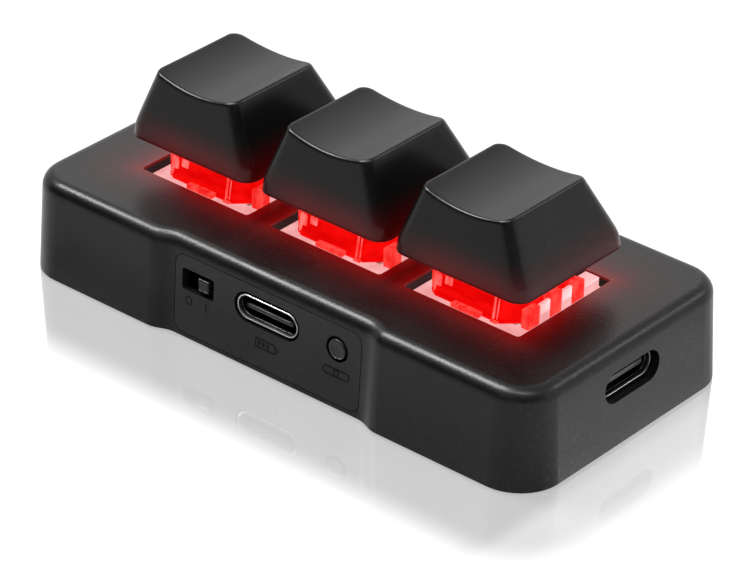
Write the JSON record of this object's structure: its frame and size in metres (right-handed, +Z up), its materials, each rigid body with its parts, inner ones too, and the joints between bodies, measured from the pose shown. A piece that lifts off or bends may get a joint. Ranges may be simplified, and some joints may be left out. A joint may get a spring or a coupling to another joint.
{
  "type": "macro keypad",
  "caption": "Small desk keypad: a row of dished keys on glowing switches over a low rounded case, with a recessed panel holding a slide switch, port and push button, and a port in its end.",
  "frame": {"origin": "middle of the footprint, on the desk surface under the feet", "axes": "+X along the key row, -Y out of the control panel, +Z up"},
  "size_m": [0.073, 0.0358, 0.0252],
  "materials": {
    "case_plastic": "fine-grain moulded charcoal plastic",
    "panel_plastic": "smooth satin charcoal plastic",
    "cap_plastic": "satin charcoal plastic",
    "cover_plastic": "fine-grain moulded charcoal plastic",
    "knob_plastic": "satin dark grey plastic",
    "pale_plastic": "milky white plastic, lit from inside",
    "glow_plastic": "translucent red plastic, lit from inside",
    "stem_plastic": "smooth red plastic",
    "lamp": "clear lens, lit",
    "port_steel": "plated drawn steel",
    "spring_steel": "bright spring wire",
    "contact_brass": "gilt strip",
    "screw_steel": "blackened steel",
    "plate_steel": "black coated steel sheet",
    "board": "solder-masked board",
    "chip": "moulded chip package",
    "tongue_plastic": "black moulded insulator",
    "switch_can": "tinned steel can",
    "foot_rubber": "soft dark rubber",
    "cell_foil": "laminated foil pouch",
    "lead_red": "insulated wire",
    "lead_black": "insulated wire",
    "connector_white": "moulded connector"
  },
  "bodies": {
    "case": {"top_case": "case_plastic", "port_panel": "panel_plastic", "bottom_cover": "cover_plastic", "rubber_feet": "foot_rubber", "case_screws": "screw_steel", "switch_plate": "plate_steel", "plate_screws": "screw_steel", "main_board": "board", "control_board": "board", "link_board": "board", "front_port_shell": "port_steel", "front_port_tongue": "tongue_plastic", "side_port_shell": "port_steel", "side_port_tongue": "tongue_plastic", "power_switch_body": "switch_can", "push_switch_body": "tongue_plastic", "battery": "cell_foil", "battery_lead_positive": "lead_red", "battery_lead_negative": "lead_black", "battery_connector": "connector_white", "controller_chip": "chip", "charger_chip": "chip", "switch_base_1": "pale_plastic", "switch_top_1": "glow_plastic", "switch_spring_1": "spring_steel", "fixed_contact_1": "contact_brass", "leaf_contact_1": "contact_brass", "key_lamp_1": "lamp", "switch_base_2": "pale_plastic", "switch_top_2": "glow_plastic", "switch_spring_2": "spring_steel", "fixed_contact_2": "contact_brass", "leaf_contact_2": "contact_brass", "key_lamp_2": "lamp", "switch_base_3": "pale_plastic", "switch_top_3": "glow_plastic", "switch_spring_3": "spring_steel", "fixed_contact_3": "contact_brass", "leaf_contact_3": "contact_brass", "key_lamp_3": "lamp"},
    "key_1": {"keycap_1": "cap_plastic", "switch_stem_1": "stem_plastic"},
    "key_2": {"keycap_2": "cap_plastic", "switch_stem_2": "stem_plastic"},
    "key_3": {"keycap_3": "cap_plastic", "switch_stem_3": "stem_plastic"},
    "power_knob": {"power_slider": "knob_plastic"},
    "pair_knob": {"pair_button": "knob_plastic", "push_switch_plunger": "knob_plastic"}
  },
  "joints": [
    {"name": "key_1_press", "type": "slide", "parent": "case", "child": "key_1", "axis": [0, 0, -1], "range_m": [0, 0.004], "stiffness_N_per_m": 75, "springref_m": -0.004, "deforming": ["switch_spring_1"]},
    {"name": "key_2_press", "type": "slide", "parent": "case", "child": "key_2", "axis": [0, 0, -1], "range_m": [0, 0.004], "stiffness_N_per_m": 75, "springref_m": -0.004, "deforming": ["switch_spring_2"]},
    {"name": "key_3_press", "type": "slide", "parent": "case", "child": "key_3", "axis": [0, 0, -1], "range_m": [0, 0.004], "stiffness_N_per_m": 75, "springref_m": -0.004, "deforming": ["switch_spring_3"]},
    {"name": "power_slide", "type": "slide", "parent": "case", "child": "power_knob", "axis": [-1, 0, 0], "range_m": [0, 0.0015]},
    {"name": "pair_press", "type": "slide", "parent": "case", "child": "pair_knob", "axis": [0, 1, 0], "range_m": [0, 0.0004], "stiffness_N_per_m": 1000, "springref_m": -0.0004}
  ]
}
